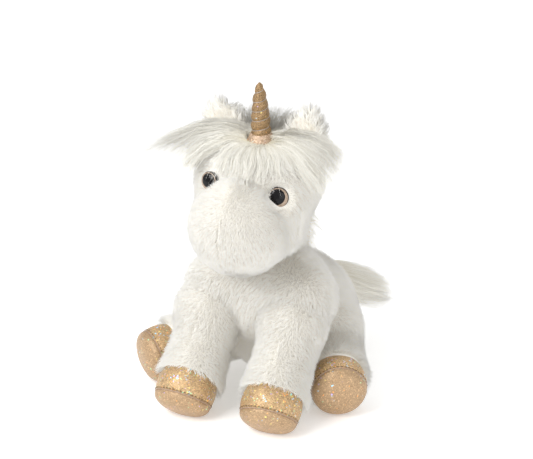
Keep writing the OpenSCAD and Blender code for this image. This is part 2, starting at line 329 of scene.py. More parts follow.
def seam_parting(p, seams, width):
    """How near each point is to a seam, 1 on it and 0 beyond width, and the direction away from it."""
    near = np.zeros(len(p))
    away = np.zeros((len(p), 3))
    for seam in seams:
        line = resample(seam, 40)
        gap = p[:, None] - line[None]
        d = np.linalg.norm(gap, axis=2)
        i = d.argmin(1)
        best = d[np.arange(len(p)), i]
        strength = np.clip(1 - best / width, 0, 1)
        closer = strength > near
        near = np.where(closer, strength, near)
        away[closer] = unit(gap[np.arange(len(p)), i])[closer]
    return near, away


def pile(name, skin, body, flow, length, density, seed, wanted, seams=(), lean=0.5, tuft=2.4,
         pull=0.32, width=0.42, slot="pile_cloth", trim=None, mess=0.75, part=4.0):
    """Short pile on a skin, where wanted(points) is true. flow is the direction it is combed in, as a
    vector or a function of points. length is in mm or a function of points, and trim(points) scales it.
    Hairs gather in tufts tuft mm wide, mess disturbs them, and they part for part mm beside the seams."""
    rng = np.random.default_rng(SEED + seed)
    p, n = roots_on(skin, density, rng, wanted)
    comb = flow(p) if callable(flow) else np.broadcast_to(np.asarray(flow, float), p.shape)
    comb = unit(comb) + 0.4 * mess * waves(p, 30, seed + 100) + 0.3 * mess * waves(p, 10, seed + 200)
    comb = comb - (comb * n).sum(1, keepdims=True) * n
    near, away = seam_parting(p, seams, part)
    comb = unit(comb) * (1 - near[:, None]) + away * near[:, None] * 1.3
    comb = comb - (comb * n).sum(1, keepdims=True) * n
    size = length(p) if callable(length) else np.full(len(p), float(length))
    size = size * (1 - 0.4 * near) * (1 + 0.08 * mess * waves(p, 14, seed + 300)[:, 0])
    size = size * rng.uniform(0.8, 1.1, len(p))
    if trim is not None:
        size = size * trim(p)
    keep = size > 0.8
    p, n, comb, size = p[keep], n[keep], comb[keep], size[keep]
    rough = rng.normal(size=p.shape) * mess
    tip_way = unit(n * (1 - lean) + comb * lean + 0.10 * rough)
    mid_way = unit(n * (1 - lean * 0.55) + comb * lean * 0.55 + 0.06 * rough)
    middles = p + mid_way * size[:, None] * 0.5
    tips = middles + tip_way * size[:, None] * 0.5
    # Hairs of one tuft lean towards the tip of the hair in its middle
    heads = rng.choice(len(p), max(1, int(len(p) / (density * tuft * tuft))), replace=False)
    lead = heads[nearest(p, p[heads])]
    gather = pull * rng.uniform(0.4, 1, (len(p), 1))
    tips = tips + (tips[lead] - tips) * gather
    middles = middles + (middles[lead] - middles) * gather * 0.35
    paths = np.stack([p - n * 0.4, middles, tips], 1)
    thing = strands(name, paths, width * rng.uniform(0.8, 1.2, len(p)), unit(n + 0.2 * comb), rng, 0.75)
    dress(thing, LINING_PILE if slot == "ear_lining" else WHITE_PILE, body, slot)
    return thing


def grown_hair(name, body, roots, ways, normals, lengths, seed, off):
    """Long hairs that grow from roots along ways, bend down under their weight and stay outside off."""
    rng = np.random.default_rng(SEED + seed)
    count, steps, weight, lift = len(roots), 5, 0.09, 7
    here = roots.copy()
    way = unit(ways + 0.05 * rng.normal(size=ways.shape))
    paths = [here]
    height = lift * rng.uniform(0.3, 1.6, count)
    for i in range(steps):
        fall = np.array([0, 0, -weight]) * (1 + i * 0.25)
        way = unit(way + fall + 0.03 * waves(here, 22, seed + 50 + i))
        here = here + way * (lengths / steps)[:, None]
        d = off(here) - height
        inside = d < 0
        if inside.any():
            g = gradient(off, here[inside])
            here[inside] -= g * d[inside, None]
            w = way[inside]
            way[inside] = unit(w - np.minimum((w * g).sum(1, keepdims=True), 0) * g * 0.9)
        paths.append(here)
    paths = np.stack(paths, 1)
    heads = rng.choice(count, max(1, int(count / 22)), replace=False)
    places = paths[:, 0] + 0.15 * (paths[:, -1] - paths[:, 0])
    lead = heads[nearest(places, places[heads])]
    along = (np.linspace(0, 1, steps + 1) ** 1.5)[None, :, None]
    gather = 0.4 * rng.uniform(0.2, 1, (count, 1, 1))
    shift = paths[lead] - paths
    close = np.linalg.norm(shift[:, -1], axis=1) < 20
    paths = paths + shift * gather * along * close[:, None, None]
    paths = paths + along * 0.9 * rng.normal(size=(count, 1, 3))
    soft = unit(ways * 0.2 + normals)
    thing = strands(name, paths, 0.3 * rng.uniform(0.7, 1.2, count), soft, rng, 0.5)
    dress(thing, LONG_WHITE, body, "long_hair")
    return thing


def fan(name, body, guides, count, seed, spread, off, lift, short, steps=7, pull=0.5, stray=2.2,
        ragged=3.2, thin=1.15):
    """Long hairs that follow guides laid side by side. Hairs lie up to spread (root, middle, tip) mm
    from the guide they follow, run for a share of it from short to 1, and stay up to about lift mm
    outside off. stray bends neighbours together, ragged parts their tips, pull gathers them, and
    thin makes long ones rarer."""
    rng = np.random.default_rng(SEED + seed)
    fine = 24
    lines = np.stack([resample(g, fine + 1) for g in guides])
    s = rng.uniform(0, len(guides) - 1, count)
    i = np.minimum(s.astype(int), len(guides) - 2)
    mix = (s - i)[:, None, None]
    whole = lines[i] * (1 - mix) + lines[i + 1] * mix
    share = short + (1 - short) * rng.uniform(size=count) ** thin
    at = np.linspace(0, 1, steps + 1)[None] * share[:, None] * fine
    low = np.minimum(at.astype(int), fine - 1)
    rest = (at - low)[..., None]
    row = np.arange(count)[:, None]
    paths = whole[row, low] * (1 - rest) + whole[row, low + 1] * rest
    t = at / fine
    at_root, at_middle, at_tip = spread
    wide = at_root * (1 - t) * (1 - 2 * t).clip(0) + at_middle * 4 * t * (1 - t) + at_tip * t ** 2
    way = unit(rng.normal(size=(count, 1, 3))) * rng.uniform(size=(count, 1, 1)) ** 0.4
    paths = paths + way * wide[..., None]
    flat = paths.reshape(-1, 3)
    flat = flat + stray * waves(flat, 24, seed + 7) * t.reshape(-1, 1)
    paths = flat.reshape(paths.shape) + rng.normal(size=(count, 1, 3)) * (t[..., None] ** 2) * ragged
    height = lift * rng.uniform(0.15, 1.3, (count, 1)) * np.clip(t * 5, 0, 1) * (1 - 0.7 * t)
    for _ in range(3):
        flat = paths.reshape(-1, 3)
        need = height.ravel() - off(flat)
        low_ones = need > 0
        flat[low_ones] += gradient(off, flat[low_ones]) * need[low_ones, None]
        paths = flat.reshape(paths.shape)
    heads = rng.choice(count, max(1, count // 26), replace=False)
    centres = paths[:, steps // 2]
    lead = heads[nearest(centres, centres[heads])]
    shift = paths[lead] - paths
    close = (np.linalg.norm(shift[:, -1], axis=1) < 15)[:, None, None]
    paths = paths + shift * close * pull * rng.uniform(0.2, 1, (count, 1, 1)) * t[..., None]
    soft = gradient(off, paths[:, steps // 2])
    thing = strands(name, paths, 0.28 * rng.uniform(0.7, 1.2, count), soft, rng, 0.7)
    dress(thing, LONG_WHITE, body, "long_hair")
    return thing


# ---- materials ----

def new_material(name):
    m = bpy.data.materials.new(name)
    m.use_nodes = True
    m.node_tree.nodes.clear()
    out = m.node_tree.nodes.new("ShaderNodeOutputMaterial")
    shader = m.node_tree.nodes.new("ShaderNodeBsdfPrincipled")
    m.node_tree.links.new(shader.outputs[0], out.inputs[0])
    return m, m.node_tree, shader


def node(tree, kind, **values):
    n = tree.nodes.new(kind)
    for key, value in values.items():
        if key in n.inputs:
            n.inputs[key].default_value = value
        else:
            setattr(n, key, value)
    return n


def ramp(tree, source, *stops, mode="LINEAR"):
    n = tree.nodes.new("ShaderNodeValToRGB")
    n.color_ramp.interpolation = mode
    while len(n.color_ramp.elements) < len(stops):
        n.color_ramp.elements.new(0.5)
    for e, (at, colour) in zip(n.color_ramp.elements, stops):
        e.position = at
        e.color = (*colour, 1)
    tree.links.new(source, n.inputs[0])
    return n.outputs[0]


def mixed(tree, kind, factor, a, b):
    n = tree.nodes.new("ShaderNodeMix")
    n.data_type, n.blend_type = "RGBA", kind
    for index, value in ((0, factor), (6, a), (7, b)):
        if isinstance(value, bpy.types.NodeSocket):
            tree.links.new(value, n.inputs[index])
        elif isinstance(value, tuple):
            n.inputs[index].default_value = (*value, 1)
        else:
            n.inputs[index].default_value = value
    return n.outputs[2]


def tune(shader, **values):
    """Sets inputs of a shader. An underscore stands for a space in an input's name."""
    for key, value in values.items():
        shader.inputs[key.replace("_", " ")].default_value = value


def texture(tree, kind, **values):
    """Texture laid in the object's own coordinates."""
    n = node(tree, kind, **values)
    tree.links.new(node(tree, "ShaderNodeTexCoord").outputs["Object"], n.inputs["Vector"])
    return n


def coloured(tree, shader, source):
    tree.links.new(source, shader.inputs["Base Color"])


def roughened(tree, shader, height, strength, distance):
    bump = node(tree, "ShaderNodeBump", Strength=strength, Distance=distance)
    tree.links.new(height, bump.inputs["Height"])
    tree.links.new(bump.outputs[0], shader.inputs["Normal"])


def hair_material(name, root, body, tip, shade):
    """Hair whose colour runs from root to tip along U and varies from hair to hair along V. The darker,
    warmer root colour is painted shade deep in the pile.
    """
    m, tree, shader = new_material(name)
    uv = node(tree, "ShaderNodeUVMap", uv_map="OFBake")
    split = node(tree, "ShaderNodeSeparateXYZ")
    tree.links.new(uv.outputs[0], split.inputs[0])
    # The root end of each hair is darker and warmer: painted shade deep in the pile
    length = ramp(tree, split.outputs[0], (0.0, root), (0.45, body), (1.0, tip))
    hairs = ramp(tree, split.outputs[1], (0.0, shade), (0.35, (1, 1, 1)), (0.8, (1, 1, 1)),
                 (1.0, (1, 0.99, 0.96)))
    coloured(tree, shader, mixed(tree, "MULTIPLY", 1.0, length, hairs))
    tune(shader, Roughness=0.75, Specular_IOR_Level=0.25, Sheen_Weight=0.25, Sheen_Roughness=0.4)
    # The emission stands for the light that hairs pass on to each other
    tune(shader, Emission_Color=(1.0, 0.91, 0.76, 1), Emission_Strength=0.09)
    return m


def knit_material():
    """Backing cloth under the pile: fine knitted loops in a warm white."""
    m, tree, shader = new_material("pile_backing")
    loops = texture(tree, "ShaderNodeTexVoronoi", Scale=900.0).outputs["Distance"]
    coloured(tree, shader, ramp(tree, loops, (0.0, (0.90, 0.88, 0.84)), (0.8, (0.80, 0.77, 0.71))))
    roughened(tree, shader, loops, 0.4, 0.0004)
    tune(shader, Roughness=0.9)
    return m


def glitter_material(name, base, deep, sparkle, scale=1.0):
    """Gold cloth with a fine metallic grain and a few coloured glitter flakes."""
    m, tree, shader = new_material(name)
    grain = texture(tree, "ShaderNodeTexVoronoi", Scale=1500.0 * scale)
    flakes = texture(tree, "ShaderNodeTexVoronoi", Scale=1050.0 * scale)
    cloud = texture(tree, "ShaderNodeTexNoise", Scale=110.0, Detail=3.0)
    tone = node(tree, "ShaderNodeSeparateColor")
    tree.links.new(grain.outputs["Color"], tone.inputs[0])
    gold = ramp(tree, tone.outputs[0], (0.0, deep), (0.45, base), (0.8, base),
                (1.0, tuple(min(1, c * 1.5) for c in base)))
    worn = ramp(tree, cloud.outputs[0], (0.3, (0.82, 0.78, 0.74)), (0.7, (1, 1, 1)))
    gold = mixed(tree, "MULTIPLY", 0.5, gold, worn)
    pick = node(tree, "ShaderNodeSeparateColor")
    tree.links.new(flakes.outputs["Color"], pick.inputs[0])
    hue = ramp(tree, pick.outputs[1], (0.0, (1.0, 0.45, 0.12)), (0.25, (1.0, 0.85, 0.25)),
               (0.45, (0.45, 0.9, 0.5)), (0.65, (0.45, 0.8, 1.0)), (0.85, (0.65, 0.5, 1.0)),
               (1.0, (1.0, 0.75, 0.7)), mode="CONSTANT")
    rare = 1 - 0.13 * sparkle
    chosen = ramp(tree, pick.outputs[0], (0.0, (0, 0, 0)), (rare, (1, 1, 1)), mode="CONSTANT")
    patch = ramp(tree, cloud.outputs[0], (0.42, (0.15, 0.15, 0.15)), (0.62, (1, 1, 1)))
    seen = mixed(tree, "MULTIPLY", 1.0, chosen, patch)
    coloured(tree, shader, mixed(tree, "MIX", seen, gold, hue))
    roughened(tree, shader, grain.outputs["Distance"], 0.5, 0.0003)
    tune(shader, Metallic=0.35, Roughness=0.42)
    return m


def thread_material(name, colour, dark):
    """Twisted thread: fine slanting ply lines."""
    m, tree, shader = new_material(name)
    ply = texture(tree, "ShaderNodeTexWave", Scale=900.0, Distortion=2.0).outputs["Fac"]
    coloured(tree, shader, ramp(tree, ply, (0.0, dark), (0.6, colour)))
    roughened(tree, shader, ply, 0.5, 0.0001)
    tune(shader, Metallic=0.3, Roughness=0.4)
    return m


def eye_material():
    """Black moulded plastic under a clear gloss."""
    m, tree, shader = new_material("eye_black")
    haze = texture(tree, "ShaderNodeTexNoise", Scale=900.0).outputs[0]
    coloured(tree, shader, ramp(tree, haze, (0.3, (0.004, 0.004, 0.005)), (0.8, (0.009, 0.008, 0.008))))
    tune(shader, Roughness=0.06, Specular_IOR_Level=0.22)
    return m


def iris_material():
    """Pearly bronze paint with fine streaks."""
    m, tree, shader = new_material("eye_bronze")
    streaks = texture(tree, "ShaderNodeTexNoise", Scale=1400.0, Detail=4.0).outputs[0]
    coloured(tree, shader, ramp(tree, streaks, (0.3, (0.26, 0.18, 0.12)), (0.7, (0.56, 0.44, 0.35))))
    tune(shader, Metallic=0.35, Roughness=0.3, Coat_Weight=0.2, Coat_Roughness=0.05)
    return m


# The first colour of each hair material is its root's: a darker, warmer painted shade deep in the pile
WHITE_PILE = hair_material("white_pile", (0.86, 0.82, 0.725), (0.935, 0.922, 0.872),
                           (0.972, 0.967, 0.94), (0.95, 0.935, 0.895))
LINING_PILE = hair_material("cream_pile", (0.80, 0.74, 0.61), (0.93, 0.90, 0.82),
                            (0.97, 0.955, 0.90), (0.96, 0.93, 0.87))
LONG_WHITE = hair_material("long_white_hair", (0.66, 0.60, 0.46), (0.895, 0.88, 0.81),
                           (0.955, 0.95, 0.905), (0.84, 0.82, 0.74))
KNIT = knit_material()
GOLD_UPPER = glitter_material("gold_glitter_cloth", (0.55, 0.375, 0.20), (0.33, 0.21, 0.10), 0.8)
GOLD_SOLE = glitter_material("gold_sole_cloth", (0.47, 0.32, 0.185), (0.34, 0.225, 0.12), 0.2)
GOLD_HORN = glitter_material("gold_horn_cloth", (0.33, 0.21, 0.10), (0.12, 0.075, 0.03), 0.1, 1.3)
GOLD_COLLAR = glitter_material("gold_collar_cloth", (0.58, 0.43, 0.31), (0.36, 0.23, 0.14), 0.5)
SEAM_EDGE = thread_material("gold_seam_edge", (0.55, 0.40, 0.30), (0.34, 0.22, 0.14))
STITCH = thread_material("brown_stitch_thread", (0.16, 0.09, 0.045), (0.07, 0.04, 0.02))
SILVER = thread_material("silver_thread", (0.50, 0.47, 0.46), (0.24, 0.21, 0.20))
EYE_BLACK = eye_material()
EYE_BRONZE = iris_material()


# ---- body shapes ----

def leg_ends(leg):
    """Hinge point and the middle of the hoof."""
    top = LEGS[leg]
    wall = middle(f"{leg}_hoof_upper")
    return top, wall + unit(wall - top) * HOOF_SHIFT


def torso_shape(p):
    return melt(12,
                ball(p, RUMP, 43.5),
                ball(p, CHEST + [0, 2, 0], 29),
                cone(p, RUMP + [0, -10, 8], CHEST + [0, 6, -4], 36, 29),
                ball(p, CHEST + [0, -12, -15], 19),
                *[ball(p, CHEST + [16 * side, -7, 5], 21.5) for side in (-1, 1)],
                *[ball(p, SHOULDER * [side, 1, 1], 21.5) for side in (-1, 1)],
                *[ball(p, HAUNCH * [side, 1, 1], 23.5) for side in (-1, 1)])


def torso_skin_shape(p):
    return np.maximum(torso_shape(p), 2.0 - p[..., 2])


EYES = {"right": -1, "left": 1}
EYE_SHIFT = {"right": [-0.6, -1.9, 2.2], "left": [-0.4, 0.7, -0.2]}
# 1 where the pile leans over an eye's inner edge, -1 where it is cut back
EYE_COVER = {"right": -1.0, "left": 1.0}
SOCKET_SLOPE = {"right": 0.6, "left": 1.6}
SOCKET_DEPTH = {"right": 4.0, "left": 2.5}  # an eye's hollow is at most this deep
EYE_RADIUS = {"right": 6.8, "left": 7.5}
EYE_TURN = {"right": math.radians(12), "left": math.radians(26)}  # outward, the right one less
EYE_TILT = math.radians(80)


def eye_place(side):
    """Middle of the flat face an eye's dome stands on, and its outward direction."""
    sign = EYES[side]
    out = np.array([sign * math.sin(EYE_TURN[side]) * math.sin(EYE_TILT),
                    -math.cos(EYE_TURN[side]) * math.sin(EYE_TILT),
                    math.cos(EYE_TILT)])
    return middle(f"{side}_eye_iris") + EYE_SHIFT[side], out


EYE_PLACES = [eye_place(side) for side in EYES]


def head_shape(p):
    head = melt(6,
                ball(p, SKULL, 32.5),
                ball(p, MUZZLE + [0, 2, 0.5], 28.5),
                cone(p, SKULL + [0, -14, -10], MUZZLE + [0, 6, -1], 25, 27.5),
                *[ball(p, MUZZLE + [3 * side, 2, -1.5], 28) for side in (-1, 1)],
                *[ball(p, SKULL + [20.5 * side, -1, 10], 21.3) for side in (-1, 1)],
                *[cone(p, SKULL + [18.5 * side, -11, 0], SKULL + [14 * side, -14, -18], 19.5, 19.5)
                  for side in (-1, 1)])
    for side, (place, out) in zip(EYES, EYE_PLACES):
        sunk = -melt(3, -head, socket(p, place, out, SOCKET_SLOPE[side]))
        head = np.minimum(sunk, head + SOCKET_DEPTH[side])
    return head


def socket(p, place, out, slope):
    """Distance to the bowl that an eye lies in. A shallow slope leaves the eye in sight from the side."""
    deep = (p - place) @ out
    wide = np.linalg.norm(p - place - deep[..., None] * out, axis=-1)
    rim = slope * (wide - 8.6) + 0.12 * np.maximum(wide - 12, 0) ** 2
    bowl = (np.maximum(rim, -1.5) - deep) / math.hypot(1, slope)
    return melt(-4, bowl, ball(p, place, 14.5))


def neck_shape(p):
    return cone(p, NECK_LOW + [0, -2, 2], NECK_TOP + [0, 0, 1], 20, 22)


def leg_shape(leg):
    """A leg that widens a little at its hem."""
    top, foot = leg_ends(leg)
    ahead = unit(foot - top)
    if leg.startswith("front"):
        side = math.copysign(1, top[0])
        bulge = 5.5 if side < 0 else 0.5
        return lambda p: melt(6, cone(p, top + [2 * side, 0, 0], foot - ahead * 12, 18.5, 17),
                              ball(p, top + [bulge * side, -10, -12], 20),
                              cone(p, foot - ahead * 20, foot - ahead * 13, 17, 18.2))
    return lambda p: melt(6, cone(p, top, foot - ahead * 12, 21, 16.5),
                          cone(p, foot - ahead * 20, foot - ahead * 12, 16.5, 18.2))


LEG_SHAPES = {leg: leg_shape(leg) for leg in LEGS}


def clear_of(shapes, deep):
    """True for points that are not more than deep mm inside any of the shapes."""
    return lambda p: np.all([s(p) > -deep for s in shapes], axis=0)


def backing(thing, body, fill, *nodes):
    """Makes a skin of backing cloth that stands for CAD nodes."""
    dress(thing, KNIT, body, "pile_cloth", *nodes)


def quarters(split):
    """Tests for points in the quarters of a shape: front right, front left, back right, back left."""
    return [lambda p, front=front, right=right: ((p[:, 1] < split) == front) & ((p[:, 0] < 0) == right)
            for front in (True, False) for right in (True, False)]


PILE_DENSITY = 1.9  # hairs to the square millimetre


def add_torso():
    skin = blob("torso_skin", np.array([0.0, -12, 56]), torso_skin_shape)
    backing(skin, "torso", 0.85, "torso_cover", "torso_stuffing")
    seams = [
        [[21, -55, 108], [26, -62, 92], [20, -69, 78], [13, -70, 66], [7, -66, 56]],
        [[-21, -55, 108], [-27, -61, 92], [-23, -67, 78], [-15, -69, 66], [-7, -66, 56]],
        [[0, 20, 90], [0, 38, 72], [0, 45, 50]],
    ]
    others = [*LEG_SHAPES.values(), neck_shape]

    def wanted(p):
        return clear_of(others, 7)(p) & (p[:, 2] > 2.5)

    names = ("front_right", "front_left", "back_right", "back_left")
    for seed, (name, part) in enumerate(zip(names, quarters(-14))):
        pile(f"torso_pile_{name}", skin, "torso", (0, -0.15, -1), 8.2, PILE_DENSITY, seed + 30,
             lambda p, part=part: wanted(p) & part(p), seams)


def add_neck():
    skin = blob("neck_skin", (NECK_LOW + NECK_TOP) / 2, neck_shape, 5)
    backing(skin, "neck", 0.85, "neck_cover", "neck_stuffing")
    pile("neck_pile", skin, "neck", (0, 0, -1), 9, PILE_DENSITY, 3,
         clear_of([torso_shape, head_shape], 6), lean=0.55)


def add_head():
    skin = blob("head_skin", (SKULL + MUZZLE) / 2, head_shape)
    backing(skin, "head", 0.9, "head_cover", "head_stuffing")
    chin = [[[0, MUZZLE[1] - 27, MUZZLE[2] - 6], [0, MUZZLE[1] - 16, MUZZLE[2] - 20],
             [0, MUZZLE[1] + 2, MUZZLE[2] - 26], [0, MUZZLE[1] + 20, MUZZLE[2] - 24]]]
    horn = middle("horn_collar")

    def flow(p):
        """Down the face, and away from the eyes beside them."""
        down = np.broadcast_to([-0.35, -1.0], (len(p), 2))
        comb = np.concatenate([0.25 * np.sign(p[:, :1]), down], 1)
        for side, (place, out) in zip(EYES, EYE_PLACES):
            away = p - place
            near = np.clip(2.3 - np.linalg.norm(away, axis=1, keepdims=True) / 6.5, 0, 1)
            comb = comb * (1 - near) + unit(away) * near * (1 - 2 * over_eye(side, away)[:, None])
        return comb

    def over_eye(side, away):
        """1 at the inner side of an eye that the pile leans over, else 0."""
        inner = unit(np.array([-EYES[side], -0.3, 0.25]))
        return EYE_COVER[side] * np.clip((unit(away) @ inner - 0.45) * 3, 0, 1)

    def length(p):
        back = np.clip((p[:, 1] - MUZZLE[1]) / 30 + 0.3, 0, 1)
        return 5.2 + 3.0 * back

    def trim(p):
        t = np.ones(len(p))
        for side, (place, out) in zip(EYES, EYE_PLACES):
            q = p - place
            d = np.linalg.norm(q - (q @ out)[:, None] * out, axis=1)
            near = np.linalg.norm(q, axis=1) < 15
            over = over_eye(side, q)
            short = np.maximum(0.4 + (d - 8.2) / 8 + 0.4 * np.minimum(over, 0), 0.7 * over)
            t *= np.where(near, np.where(d < 8.0, 0, np.clip(short, 0, 1)), 1)
        t *= np.clip((np.linalg.norm(p - horn, axis=1) - 7) / 4, 0, 1)
        return t

    split = (SKULL[1] + MUZZLE[1]) / 2
    names = ("face_right", "face_left", "head_right", "head_left")
    for seed, (name, part) in enumerate(zip(names, quarters(split))):
        pile(f"{name}_pile", skin, "head", flow, length, PILE_DENSITY * 1.1, seed + 4,
             lambda p, part=part: part(p) & clear_of([neck_shape], 7)(p), chin, lean=0.52,
             tuft=2.6, width=0.4, trim=trim)


def add_leg(leg, seed):
    top, foot = leg_ends(leg)
    shape = LEG_SHAPES[leg]
    body = f"{leg}_leg"
    skin = blob(f"{leg}_leg_skin", (top + foot) / 2, shape, 5)
    backing(skin, body, 0.85, f"{leg}_leg_cover", f"{leg}_leg_stuffing")
    ahead = unit(foot - top)
    reach = np.linalg.norm(foot - top)
    front = unit(np.cross(np.cross(ahead, [0, 0, 1.0]), ahead))
    seam = [top + ahead * t * reach + front * 17.2 for t in (0.25, 0.45, 0.65, 0.8)]

    def places(p):
        """How far along the leg, and how much to its front from -1 to 1."""
        q = p - top
        t = q @ ahead
        return t, unit(q - t[:, None] * ahead) @ front

    def wanted(p):
        t, to_front = places(p)
        return (t < reach - 9.5 - 1.8 * to_front) & clear_of([torso_shape], 9)(p)

    def length(p):
        """Longer at the hem, most at its back, where the pile hangs over the hoof."""
        t, to_front = places(p)
        hem = np.clip(1 - (reach - 11 - t) / 9, 0, 1)
        return 7.4 + hem * (2.4 - 1.0 * to_front)

    pile(f"{leg}_leg_pile", skin, body, ahead, length, PILE_DENSITY, seed, wanted, [seam], part=1.7)
    add_hoof(leg, top, foot, seed)


def add_hoof(leg, top, foot, seed):
    """Hoof: a padded wall and a crowned sole with a stitched seam between them."""
    axes = axes_along(top, foot)
    body = f"{leg}_leg"
    rng = np.random.default_rng(SEED + 900 + seed)
    phase = rng.uniform(0, 6.28, 6)

    def dent(angle, height):
        near = np.exp(-np.abs(height - 7) / 2.6)
        pucker = sum(np.sin(angle * k + phase[i]) for i, k in enumerate((17, 23, 31))) / 3
        soft = sum(np.sin(angle * k + phase[3 + i] + height * 0.12) for i, k in enumerate((2, 3, 5))) / 3
        return 0.32 * near * pucker + 0.35 * soft * np.clip((19 - height) / 10, 0, 1)

    size = 1.0 if leg.startswith("front") else 0.95
    wall = resample([[17.6, -15], [18.9, -12], [20.6, -7], [21.5, -1.5], [21.4, 3], [20.7, 6],
                     [20.0, 7.2]], 36)
    wall = np.concatenate([wall, [[18.8, 7.4]]])
    upper = lathe(f"{leg}_hoof_wall", foot, axes * size, wall, 160, dent)
    sole_line = resample([[20.0, 7.2], [20.4, 8.2], [20.1, 10], [18.4, 12.6], [14.6, 15], [9, 16.6],
                          [0.4, 17.2]], 30)
    sole_line = np.concatenate([[[18.8, 7.1]], sole_line])
    sole = lathe(f"{leg}_hoof_pad", foot, axes * size, sole_line, 160, dent)
    turn = np.linspace(0, 2 * math.pi, 161)
    lip = 20.45 + dent(turn, np.full(161, 7.3))
    ring = np.stack([lip * np.cos(turn), lip * np.sin(turn), np.full(161, 7.25)], 1)
    edge = tube(f"{leg}_hoof_seam_edge", foot + ring @ axes * size, 0.42, 6)
    stitches = add_stitches(f"{leg}_hoof_stitches", foot, axes * size, dent)
    for thing in (upper, sole, edge, stitches):
        lay_on_floor(thing)
    dress(upper, GOLD_UPPER, body, "gold_cloth", f"{leg}_hoof_upper")
    dress(sole, GOLD_SOLE, body, "gold_sole", f"{leg}_hoof_sole")
    dress(edge, SEAM_EDGE, body, "gold_sole")
    dress(stitches, STITCH, body, "horn_thread")


def add_stitches(name, foot, axes, dent):
    """Short stitches through the hoof's wall, just above the seam."""
    verts, faces = [], []
    count = 46
    for i in range(count):
        path = []
        for t in np.linspace(-0.33, 0.33, 4):
            a = (i + t) * 2 * math.pi / count
            r = 20.9 + float(dent(np.array(a), np.array(6.0))) + 0.12 * math.cos(t * 4.5)
            path.append([r * math.cos(a), r * math.sin(a), 6.1])
        path = foot + np.array(path) @ axes
        ahead = unit(np.gradient(path, axis=0))
        side = unit(np.cross(ahead, axes[2]))
        for k, p in enumerate(path):
            thick = 0.26 if k in (1, 2) else 0.12
            for q in range(5):
                b = q * 2 * math.pi / 5
                verts.append(p + thick * (math.cos(b) * side[k] + math.sin(b) * axes[2]))
        base = i * 20
        faces += ring_faces(4, 5, base)
        faces += [[base + 4 - q for q in range(5)], [base + 15 + q for q in range(5)]]
    return make_mesh(name, verts, faces)


def lay_on_floor(thing):
    """Flattens what would sink into the floor, down to a least height over it."""
    low, least, deepest = 0.9 * MM, 0.1 * MM, -6 * MM
    for v in thing.data.vertices:
        if v.co.z < low:
            v.co.z = low - (low - v.co.z) * 0.12 if v.co.z > deepest else least
            v.co.z = max(v.co.z, least)


def add_eye(side):
    """Black dome with a bronze ring let into it, thinnest at the top of its inner side."""
    place, out = eye_place(side)
    axes = axes_along(place, place + out)
    radius, height = EYE_RADIUS[side], 3.6
    dome = [[radius * math.sin(a), height * math.cos(a) - 0.3] for a in np.linspace(math.pi / 2, 0.01, 28)]
    eye = lathe(f"{side}_eye_dome", place, axes, [[radius - 0.6, -2.4], [radius - 0.1, -1.8], *dome], 96)
    dress(eye, EYE_BLACK, "head", "eye", f"{side}_eye")
    around, rings = 96, 10
    turn = np.arange(around) * 2 * math.pi / around
    thin = axes @ np.array([-EYES[side] * 0.6, -0.2, 0.8])
    inner = 0.80 + 0.22 * np.cos(turn - math.atan2(thin[1], thin[0]))
    share = np.linspace(0, 1, rings)[:, None]
    polar = inner * (1 - share) + 1.19 * share
    lift = np.where((share > 0) & (share < 1), 0.1, -0.25)
    points = np.stack([radius * np.sin(polar) * np.cos(turn), radius * np.sin(polar) * np.sin(turn),
                       height * np.cos(polar) - 0.3 + lift], -1).reshape(-1, 3)
    i, k = np.meshgrid(np.arange(rings - 1), np.arange(around), indexing="ij")
    n = (k + 1) % around
    this, above = i * around, (i + 1) * around
    quads = np.stack([this + k, above + k, above + n, this + n], -1).reshape(-1, 4)
    iris = make_mesh(f"{side}_eye_ring", place + points @ axes, quads)
    dress(iris, EYE_BRONZE, "head", "eye_iris", f"{side}_eye_iris")


def add_horn():
    """Lumpy wound cone, the thread in its groove and the gathered collar. Returns the horn's foot."""
    foot = np.array([0.0, middle("horn_cover")[1] + 1.5, corner("horn_cover", 0)[2]])
    tip = np.array([0.0, middle("horn_cover")[1] - 1.5, corner("horn_cover", 1)[2]])
    axes = axes_along(foot, tip)
    length = np.linalg.norm(tip - foot)
    pitch = 6.7

    def cone_r(h):
        return np.interp(h / length, [0, 0.5, 0.78, 0.95, 1], [6.9, 6.1, 4.5, 2.3, 1.4])

    def dent(angle, height):
        turn = height / pitch - angle / (2 * math.pi)
        swell = np.abs(np.sin(math.pi * turn)) ** 0.75
        lumps = 0.25 * np.sin(3 * angle + height * 0.7) + 0.2 * np.sin(5 * angle - height * 1.1)
        fade = np.clip((length - height) / 6, 0, 1)
        return (0.95 * swell - 0.45 + lumps * 0.6) * fade

    heights = np.linspace(0, length - 1.6, 120)
    line = [[cone_r(h), h] for h in heights]
    line += [[1.4 * math.cos(a), length - 1.6 + 1.6 * math.sin(a)] for a in np.linspace(0.25, 1.5, 8)]
    horn = lathe("horn_wound_cloth", foot, axes, line, 96, dent)
    dress(horn, GOLD_HORN, "head", "gold_cloth", "horn_cover", "horn_stuffing")
    h = np.linspace(pitch, length - 5, 420)
    a = 2 * math.pi * h / pitch
    r = cone_r(h) + dent(a, h) + 0.05
    path = foot + np.stack([r * np.cos(a), r * np.sin(a), h], 1) @ axes
    thread = tube("horn_winding", path, 0.24, 8)
    dress(thread, SILVER, "head", "horn_thread", "horn_thread")
    top = corner("horn_collar", 0)[2] - foot[2]

    def pleat(angle, height):
        folds = 0.35 * np.sin(13 * angle) + 0.25 * np.sin(29 * angle + 1)
        return folds * np.clip((top + 4 - height) / 4, 0, 1)

    ring = resample([[6.4, top + 7.0], [7.4, top + 6.6], [8.2, top + 5.0], [9.4, top + 2.6],
                     [11.0, top + 0.2], [10.8, top - 1.0], [6.2, top - 1]], 26)[::-1]
    collar = lathe("horn_gathered_collar", foot, axes, ring, 160, pleat, close=False)
    dress(collar, GOLD_COLLAR, "head", "gold_sole", "horn_collar")
    return foot


EAR_SLANT = {"right": -0.42, "left": 0.2}


